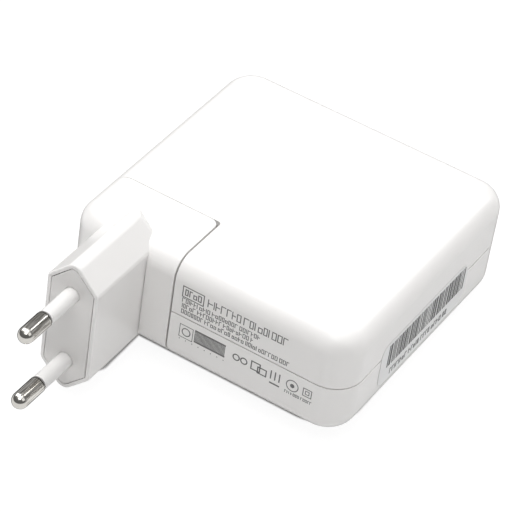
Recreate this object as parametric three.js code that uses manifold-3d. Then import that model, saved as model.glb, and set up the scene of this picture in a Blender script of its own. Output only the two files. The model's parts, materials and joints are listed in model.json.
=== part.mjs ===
// Laptop power adapter: a square white mains brick with a corner plug head that slides off.
// Millimetres. The origin is the centre of the brick's flat bottom, +Z is up, the plug pins
// point along -Y and the output socket opens along +Y.

import * as THREE from "three";
import { mergeVertices } from "three/addons/utils/BufferGeometryUtils.js";
import Module from "manifold-3d";

const wasm = await Module();
wasm.setup();

// ---------------------------------------------------------------- driving dimensions

const BRICK_SIDE = 74;
const BRICK_HEIGHT = 28;
const CORNER_RADIUS = 7.5; // upright corners of the brick
const EDGE_RADIUS = 5; // edges round its top and bottom
const CORNER_STEPS = 8; // flats round each upright corner
const WALL = 2.2;
const SEAM = 0.3; // gap between two pieces that meet

const LIP_INSET = 1.3; // the lower shell's lip stands this far inside the outer face
const LIP_RISE = 1.2; // and this far above the parting plane

const HEAD_WIDTH = 28.8; // corner notch that the plug head fills, along X
const HEAD_DEPTH = 18.2; // and along Y
const NOTCH_RADIUS = 0.8;
const HEAD_RADIUS = 2;
const HEAD_TRAVEL_ROOM = 0.2; // extra room round the parts that slide past each other

const PLUG_X = -22.5; // the plug, the inlet and the nose share this centre line
const PLUG_WIDTH = 13.2; // six-sided plug body, 45 degree ends
const PLUG_HEIGHT = 35.3;
const PLUG_LENGTH = 19.2;
const PLUG_TIP_RADIUS = 2.5;
const PLUG_SIDE_RADIUS = 1.5;
const PLUG_FADE = 3.6; // rounded back end of the plug's ridges
const PLUG_RUN_ON = 7.5; // length of the ridges on top of the head
const PLUG_WALL = 2;
const CAP_INSET = 1.1;
const CAP_THICKNESS = 3;

const PIN_SPACING = 19;
const PIN_LENGTH = 19;
const PIN_RADIUS = 2;
const PIN_CORE_RADIUS = 1.2;
const PIN_TAIL = 6.2; // length of the pin inside the plug body
const SLEEVE_LENGTH = 10;
const SLEEVE_RADIUS = 1.9;
const SLEEVE_BORE = 1.5;

const NOSE_WIDTH = 8.4; // two-pole nose of the head, which enters the brick's inlet
const NOSE_HEIGHT = 14;
const NOSE_LENGTH = 8.2;
const INLET_WIDTH = 12.6;
const INLET_HEIGHT = 18.2;
const INLET_LENGTH = 10.4;
const INLET_PIN_SPACING = 8.6;
const INLET_PIN_RADIUS = 1.2;
const CONTACT_BORE = 1.4;
const CONTACT_RADIUS = 1.7;
const NOSE_BORE = 1.9;

const STUD_Y = -28; // locking stud on the notch's side wall
const STUD_NECK = 3;
const STUD_HEAD = 4.6;
const STUD_HEAD_THICKNESS = 2;
const RAIL = 2; // wall of the head that the stud's head holds on to

const PORT_X = 20; // output socket in the back face
const PORT_WIDTH = 8.94;
const PORT_HEIGHT = 3.26;
const PORT_DEPTH = 7.3;
const PORT_METAL = 0.3;

const BOARD_BOTTOM = 6;
const BOARD_THICKNESS = 1.6;
const POST_RADIUS = 2.2;

// ---------------------------------------------------------------- places worked out from them

const half = BRICK_SIDE / 2;
const midZ = BRICK_HEIGHT / 2;
const notchX = -half + HEAD_WIDTH;
const notchY = -half + HEAD_DEPTH;
const headX = notchX - SEAM;
const headY = notchY - SEAM;
const plugFaceY = -half - PLUG_LENGTH;
const inletFrontY = notchY + 0.4;
const inletBackY = inletFrontY + INLET_LENGTH;
const boardTop = BOARD_BOTTOM + BOARD_THICKNESS;
const seat = boardTop + SEAM; // components stand here
const channelX = headX - RAIL - STUD_HEAD_THICKNESS - 1.1; // far side of the stud's channel
const headCavityX = channelX - 1.4;
const BEYOND = 60; // cutting solids reach this far past the object

// ---------------------------------------------------------------- finishes

const GLOSS_WHITE = { color: 0xf3f2ef, roughness: 0.25, metalness: 0 };
const SOFT_WHITE = { color: 0xe6e4e0, roughness: 0.45, metalness: 0 };
const BRIGHT_METAL = { color: 0xc9cacb, roughness: 0.15, metalness: 1 };
const DULL_METAL = { color: 0xa8abad, roughness: 0.35, metalness: 1 };
const BRASS = { color: 0xc7a04e, roughness: 0.3, metalness: 1 };
const COPPER = { color: 0xb5693a, roughness: 0.4, metalness: 1 };
const FERRITE = { color: 0x2f3033, roughness: 0.7, metalness: 0 };
const BLACK_PLASTIC = { color: 0x1b1c1e, roughness: 0.5, metalness: 0 };
const BOARD_GREEN = { color: 0x1f6b3c, roughness: 0.5, metalness: 0 };
const SHEET_GREY = { color: 0xb9bcc0, roughness: 0.8, metalness: 0 };
const YELLOW = { color: 0xd8b13a, roughness: 0.4, metalness: 0 };
const BLUE = { color: 0x2d62a8, roughness: 0.4, metalness: 0 };
const LABEL_WHITE = { color: 0xededee, roughness: 0.35, metalness: 0 };

// ---------------------------------------------------------------- building blocks

function solid(geometry) {
  const bare = geometry.clone();
  bare.deleteAttribute("normal");
  bare.deleteAttribute("uv");
  const merged = mergeVertices(bare, 1e-4);
  return new wasm.Manifold(
    new wasm.Mesh({
      numProp: 3,
      vertProperties: merged.attributes.position.array,
      triVerts: new Uint32Array(merged.index.array),
    }),
  );
}

function geometryOf(body) {
  const mesh = body.getMesh();
  const geometry = new THREE.BufferGeometry();
  geometry.setAttribute("position", new THREE.BufferAttribute(mesh.vertProperties, 3));
  geometry.setIndex(new THREE.BufferAttribute(mesh.triVerts, 1));
  geometry.computeVertexNormals();
  return geometry;
}

// A closed outline through [x, y, radius] corners, given anticlockwise. A corner with a
// radius becomes an arc of the given number of steps.
function outline(corners, steps = 4) {
  const origin = new THREE.Vector2();
  const point = (i) => new THREE.Vector2(...corners.at(i % corners.length).slice(0, 2));
  const points = corners.flatMap(([, , radius], i) => {
    const corner = point(i);
    if (radius === 0) return [corner];
    const back = point(i - 1).sub(corner).normalize();
    const on = point(i + 1).sub(corner).normalize();
    const halfAngle = back.angleTo(on) / 2;
    const reach = radius / Math.tan(halfAngle);
    const middle = back.clone().add(on).normalize();
    const centre = middle.multiplyScalar(radius / Math.sin(halfAngle)).add(corner);
    const start = back.multiplyScalar(reach).add(corner).sub(centre);
    const end = on.multiplyScalar(reach).add(corner).sub(centre);
    const turn = Math.sign(start.cross(end)) * start.angleTo(end);
    return Array.from({ length: steps + 1 }, (_, k) =>
      start.clone().rotateAround(origin, (turn * k) / steps).add(centre),
    );
  });
  return new THREE.Shape(points);
}

function rectangle(width, depth, radius, steps) {
  const [x, y] = [width / 2, depth / 2];
  const corners = [
    [-x, -y, radius],
    [x, -y, radius],
    [x, y, radius],
    [-x, y, radius],
  ];
  return outline(corners, steps);
}

// Extrudes along +Z from 0 to height. A bevel rounds both ends inwards.
function extruded(shape, height, bevel = 0, bevelSteps = 2) {
  const geometry = new THREE.ExtrudeGeometry(shape, {
    depth: height - 2 * bevel,
    bevelEnabled: bevel > 0,
    bevelThickness: bevel,
    bevelSize: bevel,
    bevelOffset: -bevel,
    bevelSegments: bevelSteps,
  });
  return geometry.translate(0, 0, bevel);
}

// The shape's x and y become X and Z, and it runs from backY towards -Y.
function alongY(geometry, backY) {
  return geometry.rotateX(Math.PI / 2).translate(0, backY, 0);
}

// The shape's x and y become Y and Z, and it runs towards +X.
function alongX(geometry, startX) {
  const axes = new THREE.Matrix4().makeBasis(
    new THREE.Vector3(0, 1, 0),
    new THREE.Vector3(0, 0, 1),
    new THREE.Vector3(1, 0, 0),
  );
  return geometry.applyMatrix4(axes).translate(startX, 0, 0);
}

// A solid of revolution about Y from [radius, y] points, lowest y first.
function turned(profile, steps = 20) {
  const points = profile.map(([radius, y]) => new THREE.Vector2(radius, y));
  return new THREE.LatheGeometry(points, steps);
}

function rod(radius, startY, endY, steps = 20) {
  return turned([[0, startY], [radius, startY], [radius, endY], [0, endY]], steps);
}

function upright(geometry) {
  return geometry.rotateX(Math.PI / 2);
}

function ring(bore, radius, length, steps = 20) {
  return turned(
    [[bore, 0], [radius, 0], [radius, length], [bore, length], [bore, 0]],
    steps,
  );
}

function cutter(low, high) {
  const size = high.map((value, i) => value - low[i]);
  const centre = high.map((value, i) => (value + low[i]) / 2);
  return solid(new THREE.BoxGeometry(...size).translate(...centre));
}

function add(group, name, geometry, finish, [x, y, z] = [0, 0, 0]) {
  const mesh = new THREE.Mesh(geometry, new THREE.MeshStandardMaterial(finish));
  mesh.name = name;
  mesh.position.set(x, y, z);
  group.add(mesh);
}

// ---------------------------------------------------------------- outlines of the brick and plug

// The brick's plan without the corner notch, moved inwards by inset.
function brickOutline(inset) {
  const side = half - inset;
  const radius = CORNER_RADIUS - inset;
  const [x, y] = [notchX + inset, notchY + inset];
  const corners = [
    [x, -side, 0],
    [side, -side, radius],
    [side, side, radius],
    [-side, side, radius],
    [-side, y, 0],
    [x, y, NOTCH_RADIUS + inset],
  ];
  return outline(corners, CORNER_STEPS);
}

// The full rounded box that brick and head make together, moved inwards by inset.
function roundedBox(inset) {
  const side = BRICK_SIDE - 2 * inset;
  const plan = rectangle(side, side, CORNER_RADIUS - inset, CORNER_STEPS);
  const body = extruded(plan, BRICK_HEIGHT - 2 * inset, EDGE_RADIUS - inset, 4);
  return solid(body.translate(0, 0, inset));
}

function plugOutline(inset) {
  const tip = PLUG_HEIGHT / 2 + PLUG_TIP_RADIUS * (Math.SQRT2 - 1) - inset * Math.SQRT2;
  const side = PLUG_WIDTH / 2 - inset;
  const shoulder = tip - side;
  const tipRadius = Math.max(PLUG_TIP_RADIUS - inset, 0.5);
  const sideRadius = Math.max(PLUG_SIDE_RADIUS - inset, 0.5);
  return outline([
    [0, -tip, tipRadius],
    [side, -shoulder, sideRadius],
    [side, shoulder, sideRadius],
    [0, tip, tipRadius],
    [-side, shoulder, sideRadius],
    [-side, -shoulder, sideRadius],
  ]);
}

function plugPrism(inset, backY, length, bevel = 0) {
  const prism = extruded(plugOutline(inset), length, bevel);
  return solid(alongY(prism, backY).translate(PLUG_X, 0, midZ));
}

function stadium(width, height) {
  return rectangle(width, height, Math.min(width, height) / 2 - 0.01);
}

// ---------------------------------------------------------------- brick shells

function portOpening(room) {
  const slot = extruded(stadium(PORT_WIDTH + 2 * room, PORT_HEIGHT + 2 * room), 2 * PORT_DEPTH);
  return solid(alongY(slot, half + PORT_DEPTH).translate(PORT_X, 0, midZ));
}

function studHole() {
  const hole = rod(STUD_NECK + SEAM, -2 * WALL, 2 * WALL).rotateZ(-Math.PI / 2);
  return solid(hole.translate(notchX, STUD_Y, midZ));
}

function inletOpening() {
  const frame = extruded(rectangle(INLET_WIDTH + 2 * SEAM, INLET_HEIGHT + 2 * SEAM, 1), 3 * WALL);
  return solid(alongY(frame, notchY + 2 * WALL).translate(PLUG_X, 0, midZ));
}

function brickWalls() {
  const whole = roundedBox(0).intersect(solid(extruded(brickOutline(0), BEYOND)));
  const room = roundedBox(WALL).intersect(solid(extruded(brickOutline(WALL), BEYOND)));
  return whole.subtract(room);
}

function withOpenings(shell) {
  return shell.subtract(studHole()).subtract(inletOpening()).subtract(portOpening(SEAM));
}

// The pillars that the board stands on, or with more radius the holes that clear them.
function boardPosts(radius, top) {
  const places = [
    [29, 29],
    [-29, 29],
    [29, -29],
    [-2, -29],
    [-31, -4],
  ];
  const posts = places.map(([x, y]) => {
    const post = upright(rod(radius, -top, 0, 12));
    return solid(post.translate(x, y, top));
  });
  return posts.reduce((all, post) => all.add(post));
}

function lowerShell() {
  const top = midZ - SEAM / 2;
  const tray = brickWalls().intersect(cutter([-BEYOND, -BEYOND, -1], [BEYOND, BEYOND, top]));
  const aboveFloor = cutter([-BEYOND, -BEYOND, WALL / 2], [BEYOND, BEYOND, BEYOND]);
  const lipHeight = LIP_RISE + SEAM + 1;
  const lipOuter = solid(extruded(brickOutline(LIP_INSET), lipHeight));
  const lipInner = solid(extruded(brickOutline(WALL), BEYOND).translate(0, 0, -1));
  const lip = lipOuter.subtract(lipInner).translate([0, 0, midZ + LIP_RISE - lipHeight]);
  const posts = boardPosts(POST_RADIUS, BOARD_BOTTOM - SEAM).intersect(aboveFloor);
  return geometryOf(withOpenings(tray.add(lip).add(posts)));
}

function upperShell() {
  const bottom = midZ + SEAM / 2;
  const lid = brickWalls().intersect(cutter([-BEYOND, -BEYOND, bottom], [BEYOND, BEYOND, BEYOND]));
  const rebateHeight = LIP_RISE + SEAM + 1;
  const rebate = solid(extruded(brickOutline(LIP_INSET - SEAM), rebateHeight));
  const shell = lid.subtract(rebate.translate([0, 0, midZ - 1]));
  return geometryOf(withOpenings(shell));
}

// ---------------------------------------------------------------- inlet, stud, port, label

function inletBlock() {
  const block = solid(alongY(extruded(rectangle(INLET_WIDTH, INLET_HEIGHT, 1), INLET_LENGTH), 0));
  const room = SEAM;
  const mouth = extruded(stadium(NOSE_WIDTH + 2 * room, NOSE_HEIGHT + 2 * room), BEYOND);
  const hollow = solid(alongY(mouth, -1.8));
  const holes = [-1, 1].map((side) =>
    solid(rod(INLET_PIN_RADIUS + 0.2, -INLET_LENGTH, 1, 16).translate(0, 0, (side * INLET_PIN_SPACING) / 2)),
  );
  return geometryOf(block.subtract(hollow).subtract(holes[0]).subtract(holes[1]));
}

function inletPin() {
  const [back, front, nib] = [2.5, -9, 0.5];
  return turned(
    [
      [0, front],
      [INLET_PIN_RADIUS - nib, front],
      [INLET_PIN_RADIUS, front + nib],
      [INLET_PIN_RADIUS, back],
      [0, back],
    ],
    12,
  );
}

function latchStud() {
  const flange = { radius: 5, near: WALL + SEAM, far: WALL + SEAM + 1.5 };
  const headFar = -SEAM - RAIL - HEAD_TRAVEL_ROOM - STUD_HEAD_THICKNESS;
  const headNear = headFar + STUD_HEAD_THICKNESS;
  const chamfer = 0.5;
  return turned([
    [0, headFar],
    [STUD_HEAD - chamfer, headFar],
    [STUD_HEAD, headFar + chamfer],
    [STUD_HEAD, headNear],
    [STUD_NECK, headNear],
    [STUD_NECK, flange.near],
    [flange.radius, flange.near],
    [flange.radius, flange.far],
    [0, flange.far],
  ]).rotateZ(-Math.PI / 2);
}

function portShell() {
  const metal = solid(alongY(extruded(stadium(PORT_WIDTH, PORT_HEIGHT), PORT_DEPTH), 0));
  const mouth = stadium(PORT_WIDTH - 2 * PORT_METAL, PORT_HEIGHT - 2 * PORT_METAL);
  return geometryOf(metal.subtract(solid(alongY(extruded(mouth, PORT_DEPTH + 2), 1))));
}

function portTongue() {
  const room = 0.2;
  const width = PORT_WIDTH - 2 * PORT_METAL - 2 * room;
  const height = PORT_HEIGHT - 2 * PORT_METAL - 2 * room;
  const plug = solid(alongY(extruded(stadium(width, height), 1.6), 1.8 - PORT_DEPTH));
  const tongue = solid(alongY(extruded(rectangle(6.7, 0.7, 0.1), PORT_DEPTH - 1.2), -1));
  return geometryOf(plug.add(tongue));
}

function labelFilm() {
  const [length, height, radius, thickness] = [39.6, 11.6, 2.5, 0.12];
  return alongX(extruded(rectangle(length, height, radius), thickness), 0);
}

// ---------------------------------------------------------------- circuit board and components

function brickSheet(inset, thickness) {
  return extruded(brickOutline(inset), thickness);
}

// The board is cut away where the inlet block comes down past it.
function mainBoard() {
  const reach = INLET_WIDTH / 2 + 2 * SEAM;
  const low = [PLUG_X - reach, -BEYOND, -1];
  const high = [PLUG_X + reach, inletBackY + 2 * SEAM, BEYOND];
  const board = solid(brickSheet(WALL + 1, BOARD_THICKNESS));
  return geometryOf(board.subtract(cutter(low, high)));
}

function insulationSheet() {
  const sheet = solid(brickSheet(WALL + 2.4, 0.4));
  return geometryOf(sheet.subtract(boardPosts(POST_RADIUS + SEAM, BOARD_BOTTOM)));
}

function block(width, depth, height, radius = 0.4) {
  return extruded(rectangle(width, depth, radius, 2), height);
}

function capacitorCan(radius, length) {
  const [groove, depth, round] = [2.2, 0.4, 0.6];
  return turned([
    [0, 0],
    [radius - round, 0],
    [radius, round],
    [radius, groove],
    [radius - depth, groove + depth],
    [radius, groove + 2 * depth],
    [radius, length - round],
    [radius - round, length],
    [0, length],
  ]);
}

const TRANSFORMER = { width: 25, depth: 12, height: 14.8, plate: 3, leg: 3.2, post: 6 };

function coreHalf() {
  const { width, depth, height, plate, leg, post } = TRANSFORMER;
  const reach = (height - SEAM) / 2;
  const [side, inner, middle] = [width / 2, width / 2 - leg, post / 2];
  const section = outline([
    [-side, 0, 0],
    [side, 0, 0],
    [side, reach, 0],
    [inner, reach, 0],
    [inner, plate, 0],
    [middle, plate, 0],
    [middle, reach, 0],
    [-middle, reach, 0],
    [-middle, plate, 0],
    [-inner, plate, 0],
    [-inner, reach, 0],
    [-side, reach, 0],
  ]);
  return alongY(extruded(section, depth), depth / 2);
}

const BOBBIN = { width: 8.2, depth: 14.2, flangeWidth: 17.8, flangeDepth: 24, flange: 0.8, height: 7.8 };

function bobbin() {
  const { width, depth, flangeWidth, flangeDepth, flange, height } = BOBBIN;
  const tube = solid(block(width, depth, height));
  const plates = [0, height - flange].map((z) =>
    solid(block(flangeWidth, flangeDepth, flange, 2).translate(0, 0, z)),
  );
  const room = block(TRANSFORMER.post + 2 * SEAM, TRANSFORMER.depth + 2 * SEAM, BEYOND, 0.1);
  const bore = solid(room.translate(0, 0, -1));
  return geometryOf(tube.add(plates[0]).add(plates[1]).subtract(bore));
}

function transformerWinding() {
  const height = BOBBIN.height - 2 * BOBBIN.flange - 2 * SEAM;
  const pack = solid(block(16.8, 22.8, height, 3));
  const bore = block(BOBBIN.width + 2 * SEAM, BOBBIN.depth + 2 * SEAM, BEYOND, 0.5);
  return geometryOf(pack.subtract(solid(bore.translate(0, 0, -1))));
}

// One winding of a ring choke: a sector of a fat ring, hollowed for the core.
function chokeWinding(core, wire, side) {
  const fat = solid(upright(ring(core.bore - wire, core.radius + wire, core.height + 2 * wire, 24)));
  const grown = ring(core.bore - SEAM, core.radius + SEAM, core.height + 2 * SEAM, 24);
  const tunnel = solid(upright(grown).translate(0, 0, wire - SEAM));
  const reach = core.radius + wire + 1;
  const low = side > 0 ? [1.6, -reach, -1] : [-reach, -reach, -1];
  const high = side > 0 ? [reach, reach, reach] : [-1.6, reach, reach];
  return geometryOf(fat.subtract(tunnel).intersect(cutter(low, high)));
}

// A flat strip bent in the YZ plane, through [y, z] points.
function strip(path, thickness, width) {
  const points = path.map(([y, z]) => new THREE.Vector2(y, z));
  const offset = (side) =>
    points.map((point, i) => {
      const inward = point.clone().sub(points[Math.max(i - 1, 0)]).normalize();
      const outward = points[Math.min(i + 1, points.length - 1)].clone().sub(point).normalize();
      const along = inward.clone().add(outward).normalize();
      const normal = new THREE.Vector2(-along.y, along.x);
      const lean = Math.max(along.dot(inward), along.dot(outward));
      return normal.multiplyScalar((side * thickness) / 2 / lean).add(point);
    });
  const shape = new THREE.Shape([...offset(1), ...offset(-1).reverse()]);
  return alongX(extruded(shape, width), -width / 2);
}

function wire(points, radius) {
  const path = new THREE.CatmullRomCurve3(points.map((point) => new THREE.Vector3(...point)));
  const section = new THREE.Shape().absarc(0, 0, radius, 0, 2 * Math.PI);
  return new THREE.ExtrudeGeometry(section, { steps: 12, extrudePath: path, curveSegments: 4 });
}

function packagedPart(width, depth, height, tab) {
  const body = solid(block(width, depth, height, 0.3));
  const plate = solid(block(width, tab.thickness, height + tab.rise, 0.3));
  return geometryOf(body.add(plate.translate([0, (depth - tab.thickness) / 2, 0])));
}

function heatSink(length, height, thickness, foot) {
  return strip([[0, height], [0, thickness / 2], [foot, thickness / 2]], thickness, length);
}

// ---------------------------------------------------------------- plug head

function headShell() {
  const plan = outline([
    [-BEYOND, -BEYOND, 0],
    [headX, -BEYOND, 0],
    [headX, headY, HEAD_RADIUS],
    [-BEYOND, headY, 0],
  ]);
  const corner = roundedBox(0).intersect(solid(extruded(plan, BEYOND)));

  const backY = -half + PLUG_RUN_ON;
  const rounded = plugPrism(0, backY, PLUG_LENGTH + PLUG_RUN_ON, 0.4);
  const tip = PLUG_HEIGHT / 2 + PLUG_TIP_RADIUS * (Math.SQRT2 - 1);
  const side = PLUG_WIDTH / 2;
  const sharp = outline([
    [0, -tip, 0],
    [side, side - tip, 0],
    [side, tip - side, 0],
    [0, tip, 0],
    [-side, tip - side, 0],
    [-side, side - tip, 0],
  ]);
  const fading = alongY(extruded(sharp, BEYOND, PLUG_FADE, 4), backY);
  const plug = rounded.intersect(solid(fading.translate(PLUG_X, 0, midZ)));

  const roomBack = cutter([-BEYOND, -BEYOND, -1], [headCavityX, headY + 1, BEYOND]);
  const room = roundedBox(WALL).intersect(roomBack);
  const frontWallBack = -half + WALL + 0.1;
  const bore = plugPrism(PLUG_WALL, frontWallBack, PLUG_LENGTH + WALL + 1);
  const capSeat = plugPrism(CAP_INSET - SEAM, plugFaceY + CAP_THICKNESS + SEAM, BEYOND);

  const channelHalf = STUD_HEAD + SEAM + HEAD_TRAVEL_ROOM;
  const channelFront = STUD_Y - channelHalf;
  const channel = cutter(
    [channelX, channelFront, midZ - channelHalf],
    [headX - RAIL, headY + 1, midZ + channelHalf],
  );
  const slotHalf = STUD_NECK + SEAM + HEAD_TRAVEL_ROOM;
  const slot = cutter(
    [headX - RAIL - 1, STUD_Y - slotHalf, midZ - slotHalf],
    [headX + 1, headY + 1, midZ + slotHalf],
  );
  const hollows = [room, bore, capSeat, channel, slot];
  return geometryOf(hollows.reduce((body, hollow) => body.subtract(hollow), corner.add(plug)));
}

function endCap() {
  const plate = plugPrism(CAP_INSET, plugFaceY + CAP_THICKNESS, CAP_THICKNESS);
  const holes = [-1, 1].map((side) => {
    const hole = rod(SLEEVE_RADIUS + SEAM, plugFaceY - 1, plugFaceY + CAP_THICKNESS + 1, 16);
    return solid(hole.translate(PLUG_X, 0, midZ + (side * PIN_SPACING) / 2));
  });
  return geometryOf(plate.subtract(holes[0]).subtract(holes[1]));
}

function plugPin() {
  const tipY = -PIN_LENGTH;
  const shoulderY = -SLEEVE_LENGTH - SEAM;
  const nose = [20, 45, 70].map((degrees) => {
    const angle = THREE.MathUtils.degToRad(degrees);
    return [PIN_RADIUS * Math.sin(angle), tipY + PIN_RADIUS * (1 - Math.cos(angle))];
  });
  return turned(
    [
      [0, tipY],
      ...nose,
      [PIN_RADIUS, tipY + PIN_RADIUS],
      [PIN_RADIUS, shoulderY],
      [PIN_CORE_RADIUS, shoulderY],
      [PIN_CORE_RADIUS, PIN_TAIL],
      [0, PIN_TAIL],
    ],
    16,
  );
}

function pinSleeve() {
  return ring(SLEEVE_BORE, SLEEVE_RADIUS, SLEEVE_LENGTH + CAP_THICKNESS, 16);
}

function rearCover() {
  const [left, right] = [-half + WALL + SEAM, headCavityX - SEAM];
  const reach = midZ - WALL - SEAM;
  const thickness = 2.2;
  const cornerRadius = EDGE_RADIUS - WALL;
  const plate = outline([
    [left, -reach, cornerRadius],
    [right, -reach, 0.4],
    [right, reach, 0.4],
    [left, reach, cornerRadius],
  ]);
  const cover = solid(alongY(extruded(plate, thickness), headY).translate(0, 0, midZ));
  const nose = alongY(extruded(stadium(NOSE_WIDTH, NOSE_HEIGHT), NOSE_LENGTH + 1), headY + NOSE_LENGTH);
  const bores = [-1, 1].map((side) => {
    const bore = rod(NOSE_BORE, headY - thickness - 1, headY + NOSE_LENGTH + 1, 16);
    return solid(bore.translate(PLUG_X, 0, midZ + (side * INLET_PIN_SPACING) / 2));
  });
  const body = cover.add(solid(nose.translate(PLUG_X, 0, midZ)));
  return geometryOf(body.subtract(bores[0]).subtract(bores[1]));
}

function contactStrip(side) {
  const [pinEnd, socketEnd] = [plugFaceY + PIN_TAIL + 0.6, headY - 2.8];
  const [outer, run, inner] = [11.2, 7.4, INLET_PIN_SPACING / 2];
  const path = [
    [pinEnd, outer],
    [pinEnd, run],
    [-31, run],
    [-26, inner],
    [socketEnd, inner],
  ];
  return strip(path.map(([y, z]) => [y, side * z]), 0.6, 4);
}

// ---------------------------------------------------------------- assembly

const brick = new THREE.Group();
add(brick, "lower_shell", lowerShell(), GLOSS_WHITE);
add(brick, "upper_shell", upperShell(), GLOSS_WHITE);
add(brick, "inlet_block", inletBlock(), SOFT_WHITE, [PLUG_X, inletBackY, midZ]);
add(brick, "latch_stud", latchStud(), DULL_METAL, [notchX, STUD_Y, midZ]);
add(brick, "usb_c_shell", portShell(), BRIGHT_METAL, [PORT_X, half - 0.1, midZ]);
add(brick, "usb_c_tongue", portTongue(), BLACK_PLASTIC, [PORT_X, half - 0.1, midZ]);
add(brick, "rating_label", labelFilm(), LABEL_WHITE, [half + 0.02, -1, 11.2]);

add(brick, "main_board", mainBoard(), BOARD_GREEN, [0, 0, BOARD_BOTTOM]);
add(brick, "insulation_sheet", insulationSheet(), SHEET_GREY, [0, 0, WALL + SEAM]);
add(brick, "heat_spreader", brickSheet(WALL + 2.8, 0.6), DULL_METAL, [0, 0, 24.7]);

// Both wires leave their pin along Y and end upright on the board; the live one steps aside.
const pinSides = { live: 1, neutral: -1 };
const wireBends = {
  live: [[0, 1.4, -0.2], [1.6, 1.8, -1.3], [2.2, 1.4]],
  neutral: [[0, 1.2, 0], [0, 2.1, -0.7], [0, 2.2]],
};
for (const [pole, side] of Object.entries(pinSides)) {
  const z = midZ + (side * INLET_PIN_SPACING) / 2;
  add(brick, `inlet_pin_${pole}`, inletPin(), BRIGHT_METAL, [PLUG_X, inletBackY, z]);
  const [leaving, turning, landing] = wireBends[pole];
  const route = [[0, 0, 0], leaving, turning, [...landing, seat + 0.2 - z]];
  const start = [PLUG_X, inletBackY + 2.8, z];
  add(brick, `inlet_wire_${pole}`, wire(route, 0.7), side > 0 ? BLACK_PLASTIC : BLUE, start);
}

const chokeCore = { bore: 3.4, radius: 7, height: 5 };
const chokeWire = 1.3;
const chokePlace = [-15.5, 7.2, seat];
const coreRing = upright(ring(chokeCore.bore, chokeCore.radius, chokeCore.height, 24));
add(brick, "choke_core", coreRing.translate(0, 0, chokeWire), FERRITE, chokePlace);
[-1, 1].forEach((side, i) => {
  add(brick, `choke_winding_${i + 1}`, chokeWinding(chokeCore, chokeWire, side), COPPER, chokePlace);
});

add(brick, "fuse", upright(rod(4, 0, 7.5)), BLACK_PLASTIC, [-11, -11, seat]);
add(brick, "x_capacitor", block(6.5, 15, 12, 0.8), YELLOW, [-29.6, 4.5, seat]);
add(brick, "bridge_rectifier", block(14.4, 3.6, 11), BLACK_PLASTIC, [-26, 19, seat]);
add(brick, "y_capacitor", upright(rod(4, 0, 3.6)), BLUE, [-18, 29.4, seat]);
add(brick, "filter_coil", upright(rod(4.2, 0, 11)), FERRITE, [-28, 29.2, seat]);
add(brick, "optocoupler", block(4.8, 6.6, 3.5), BLACK_PLASTIC, [-9, 29.2, seat]);
add(brick, "controller_ic", block(5, 6.2, 1.6), BLACK_PLASTIC, [-12, 18, BOARD_BOTTOM - SEAM - 1.6]);
add(brick, "primary_heat_sink", heatSink(24, 15, 1.5, -2.4), DULL_METAL, [-19, 24.2, seat]);
const tab = { thickness: 1.3, rise: 3 };
add(brick, "primary_mosfet", packagedPart(10, 4.4, 9.2, tab), BLACK_PLASTIC, [-12, 20.9, seat + 2]);

[5.6, 21.4].forEach((x, i) => {
  add(brick, `bulk_capacitor_${i + 1}`, capacitorCan(7.5, 28), BLACK_PLASTIC, [x, -32.6, seat + 7.5]);
});
[11.5, 21].forEach((y, i) => {
  const can = upright(capacitorCan(4, 12));
  add(brick, `output_capacitor_${i + 1}`, can, DULL_METAL, [29, y, seat]);
});

const transformer = new THREE.Group();
transformer.position.set(7, 11.4, seat);
const coreUpper = coreHalf().rotateY(Math.PI).translate(0, 0, TRANSFORMER.height);
const bobbinBottom = (TRANSFORMER.height - BOBBIN.height) / 2;
add(transformer, "transformer_core_lower", coreHalf(), FERRITE);
add(transformer, "transformer_core_upper", coreUpper, FERRITE);
add(transformer, "transformer_bobbin", bobbin(), BLACK_PLASTIC, [0, 0, bobbinBottom]);
const windingBottom = bobbinBottom + BOBBIN.flange + SEAM;
add(transformer, "transformer_winding", transformerWinding(), YELLOW, [0, 0, windingBottom]);
add(transformer, "thermal_pad", block(22, 11, 1.2), SHEET_GREY, [0, 0, TRANSFORMER.height + SEAM]);
brick.add(transformer);

const sink = heatSink(20, 14, 1.2, -2).rotateZ(-Math.PI / 2);
add(brick, "secondary_heat_sink", sink, DULL_METAL, [22.6, 8, seat]);
const rectifier = packagedPart(9, 4, 8.6, { thickness: 1.2, rise: 2.6 }).rotateZ(Math.PI / 2);
add(brick, "sync_rectifier", rectifier, BLACK_PLASTIC, [25.6, 1.6, seat]);
const inductorCore = ring(1.8, 4.4, 4.4, 20);
add(brick, "output_inductor", upright(inductorCore), FERRITE, [4, 29, seat]);
add(brick, "usb_board", block(16, 8.6, 1.2), BOARD_GREEN, [PORT_X, 29.8, midZ - PORT_HEIGHT / 2 - 1.5]);

const plugHead = new THREE.Group();
add(plugHead, "head_shell", headShell(), GLOSS_WHITE);
add(plugHead, "head_end_cap", endCap(), GLOSS_WHITE);
add(plugHead, "head_rear_cover", rearCover(), SOFT_WHITE);
for (const [place, side] of Object.entries({ upper: 1, lower: -1 })) {
  const pinZ = midZ + (side * PIN_SPACING) / 2;
  const contactZ = midZ + (side * INLET_PIN_SPACING) / 2;
  const sleeveBack = plugFaceY - SLEEVE_LENGTH;
  add(plugHead, `plug_pin_${place}`, plugPin(), BRIGHT_METAL, [PLUG_X, plugFaceY, pinZ]);
  add(plugHead, `pin_sleeve_${place}`, pinSleeve(), SOFT_WHITE, [PLUG_X, sleeveBack, pinZ]);
  const socket = ring(CONTACT_BORE, CONTACT_RADIUS, 10, 16);
  add(plugHead, `socket_contact_${place}`, socket, BRASS, [PLUG_X, headY - 2.4, contactZ]);
  add(plugHead, `contact_strip_${place}`, contactStrip(side), BRASS, [PLUG_X, 0, midZ]);
}

const adapter = new THREE.Group();
adapter.add(brick, plugHead);

export default adapter;
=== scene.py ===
import json
import math
import random

import bmesh
import bpy
from mathutils import Matrix, Vector


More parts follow.
